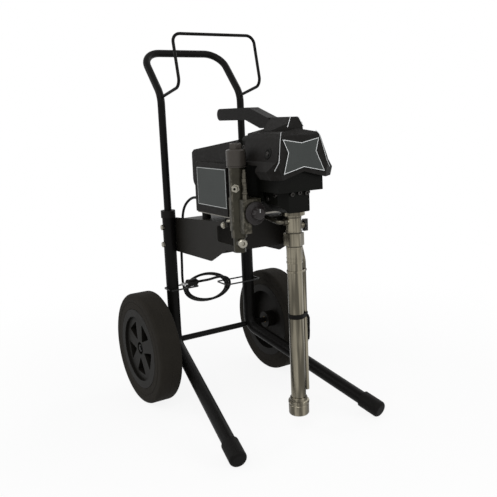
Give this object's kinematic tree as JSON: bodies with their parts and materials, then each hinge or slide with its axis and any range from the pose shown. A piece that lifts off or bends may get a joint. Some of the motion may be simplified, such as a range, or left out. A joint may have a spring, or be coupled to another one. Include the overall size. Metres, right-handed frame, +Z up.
{
  "type": "airless paint sprayer",
  "caption": "Electric airless paint sprayer with a vertical piston pump, on a two-wheeled cart of bent tube with a telescoping handle and a hose rack.",
  "frame": {"origin": "middle of the object's outline on the ground", "axes": "-Y towards the pump and the front feet, +Y towards the wheels, +Z up, +X to the right of someone who looks along +Y"},
  "size_m": [0.473, 0.627, 0.975],
  "materials": {
    "frame_paint": "semi-gloss black powder coat",
    "bracket_paint": "dark brown-black powder coat",
    "cover_plastic": "fine-grained moulded",
    "grip_plastic": "fine-grained moulded",
    "knob_plastic": "moulded",
    "switch_plastic": "smooth",
    "tyre_rubber": "matte",
    "hub_plastic": "moulded",
    "soft_rubber": "matte",
    "cord_rubber": "satin",
    "zinc_steel": "zinc plated",
    "plated_steel": "nickel plated",
    "plain_steel": "ground",
    "casting_black": "black enamel over a sand-cast surface",
    "casting_aluminium": "as cast",
    "casting_bronze": "bronze-grey enamel",
    "cap_enamel": "dark warm grey enamel",
    "plate_print": "printed plate with a silver border",
    "core_iron": "laminated and varnished",
    "magnet_ferrite": "sintered",
    "bush_bronze": "turned",
    "packing_leather": "oiled",
    "board_laminate": "solder mask"
  },
  "bodies": {
    "cart": {"left_leg_tube": "frame_paint", "right_leg_tube": "frame_paint", "foot_caps": "soft_rubber", "sleeve_collars": "grip_plastic", "wheel_axle": "zinc_steel", "axle_fasteners": "zinc_steel", "wheel_bushes": "bush_bronze", "mounting_bracket": "bracket_paint", "bracket_bolts": "zinc_steel", "motor_base": "casting_aluminium", "rubber_mounts": "soft_rubber", "motor_can": "zinc_steel", "motor_magnets": "magnet_ferrite", "shaft_bearings": "plain_steel", "drive_housing": "casting_black", "front_housing": "casting_black", "motor_shroud": "cover_plastic", "front_cover": "cover_plastic", "carry_handle": "grip_plastic", "control_box": "cover_plastic", "blank_plates": "plate_print", "circuit_board": "board_laminate", "strain_relief": "soft_rubber", "pump_cylinder": "plated_steel", "pump_nuts": "plated_steel", "pump_packings": "packing_leather", "foot_valve_housing": "plated_steel", "suction_tube": "plated_steel", "inlet_strainer": "zinc_steel", "drain_tube": "plated_steel", "tube_clips": "plain_steel", "prime_valve_body": "plated_steel", "filter_housing": "casting_bronze", "filter_cap": "cap_enamel", "filter_element": "plain_steel", "hose_outlet": "zinc_steel", "port_plugs": "zinc_steel", "outlet_pipe": "plated_steel", "power_cord": "cord_rubber", "cord_coil": "cord_rubber", "power_plug": "cord_rubber", "cord_ties": "switch_plastic"},
    "handle": {"handle_tube": "frame_paint", "handle_end_guides": "grip_plastic", "hose_rack": "frame_paint"},
    "left_wheel": {"left_tyre": "tyre_rubber", "left_wheel_hub": "hub_plastic"},
    "right_wheel": {"right_tyre": "tyre_rubber", "right_wheel_hub": "hub_plastic"},
    "rotor": {"motor_armature": "core_iron", "motor_fan": "grip_plastic"},
    "reduction": {"reduction_gear": "plain_steel"},
    "crank": {"crank_gear": "plain_steel"},
    "piston": {"connecting_rod": "plain_steel", "piston_rod": "plain_steel"},
    "outlet_ball": {"piston_ball": "plain_steel"},
    "intake_ball": {"intake_ball": "plain_steel"},
    "pressure_knob": {"pressure_knob": "knob_plastic"},
    "prime_knob": {"prime_valve_knob": "switch_plastic"},
    "switch": {"power_switch": "switch_plastic"}
  },
  "joints": [
    {"name": "handle_slide", "type": "slide", "parent": "cart", "child": "handle", "axis": [0, 0, 1], "range_m": [-0.24, 0]},
    {"name": "left_wheel_spin", "type": "hinge", "parent": "cart", "child": "left_wheel", "pos_m": [-0.2055, 0.16352, 0.15], "axis": [1, 0, 0], "continuous": true},
    {"name": "right_wheel_spin", "type": "hinge", "parent": "cart", "child": "right_wheel", "pos_m": [0.2055, 0.16352, 0.15], "axis": [1, 0, 0], "continuous": true},
    {"name": "motor_spin", "type": "hinge", "parent": "cart", "child": "rotor", "pos_m": [0, -0.05648, 0.62], "axis": [0, 1, 0], "continuous": true},
    {"name": "reduction_spin", "type": "hinge", "parent": "cart", "child": "reduction", "pos_m": [0.02475, -0.14148, 0.64107], "axis": [0, 1, 0], "continuous": true},
    {"name": "crank_spin", "type": "hinge", "parent": "cart", "child": "crank", "pos_m": [0, -0.19648, 0.675], "axis": [0, 1, 0], "continuous": true},
    {"name": "piston_slide", "type": "slide", "parent": "cart", "child": "piston", "axis": [0, 0, 1], "range_m": [0, 0.024]},
    {"name": "outlet_ball_lift", "type": "slide", "parent": "piston", "child": "outlet_ball", "axis": [0, 0, 1], "range_m": [0, 0.004]},
    {"name": "intake_ball_lift", "type": "slide", "parent": "cart", "child": "intake_ball", "axis": [0, 0, 1], "range_m": [0, 0.008]},
    {"name": "pressure_knob_turn", "type": "hinge", "parent": "cart", "child": "pressure_knob", "pos_m": [-0.074, -0.21048, 0.541], "axis": [0, -1, 0], "range_deg": [0, 270]},
    {"name": "prime_valve_turn", "type": "hinge", "parent": "cart", "child": "prime_knob", "pos_m": [0.033, -0.24848, 0.507], "axis": [1, 0, 0], "range_deg": [0, 90]},
    {"name": "power_switch_rock", "type": "hinge", "parent": "cart", "child": "switch", "pos_m": [-0.082, 0.03352, 0.612], "axis": [1, 0, 0], "range_deg": [-20, 0]}
  ],
  "couplings": [
    {"joint": "reduction_spin", "follows": "motor_spin", "ratio": -0.3},
    {"joint": "crank_spin", "follows": "motor_spin", "ratio": 0.1}
  ]
}
